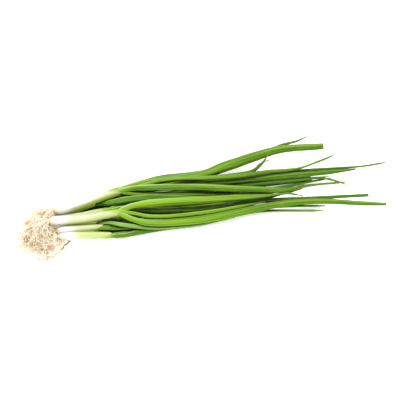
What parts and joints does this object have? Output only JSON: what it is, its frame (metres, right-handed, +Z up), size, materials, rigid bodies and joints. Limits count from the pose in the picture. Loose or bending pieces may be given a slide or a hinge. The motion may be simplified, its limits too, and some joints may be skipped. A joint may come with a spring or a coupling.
{
  "type": "spring onion bunch",
  "caption": "Loose bunch of spring onions lying on its side, with white shanks, hairy roots and long hollow green leaves.",
  "frame": {"origin": "on the surface, under the middle of the bunch's box", "axes": "+X from the roots to the leaf tips, +Y to the rear of the bunch as pictured, +Z up"},
  "size_m": [0.4048, 0.1142, 0.0254],
  "materials": {
    "root": "dry fibrous roots, cream with tan tips",
    "shank": "smooth moist white sheath, fading to pale green",
    "leaf": "waxy fresh green leaf with fine lengthwise veins"
  },
  "bodies": {
    "root": {"roots_a": "root", "shank_a": "shank", "leaf_a1": "leaf", "leaf_a3": "leaf", "leaf_a4": "leaf", "roots_b": "root", "shank_b": "shank", "leaf_b1": "leaf", "leaf_b2": "leaf", "leaf_b3": "leaf", "leaf_b4": "leaf", "roots_h": "root", "shank_h": "shank", "leaf_h1": "leaf", "leaf_h2": "leaf", "leaf_h3": "leaf", "leaf_h4": "leaf", "roots_g": "root", "shank_g": "shank", "leaf_g1": "leaf", "leaf_g2": "leaf", "roots_c": "root", "shank_c": "shank", "leaf_c1": "leaf", "leaf_c2": "leaf", "leaf_c3": "leaf", "roots_f": "root", "shank_f": "shank", "leaf_f1": "leaf", "leaf_f2": "leaf", "roots_d": "root", "shank_d": "shank", "leaf_d1": "leaf", "leaf_d2": "leaf", "leaf_d3": "leaf", "roots_e": "root", "shank_e": "shank", "leaf_e1": "leaf", "leaf_e2": "leaf"}
  },
  "joints": []
}
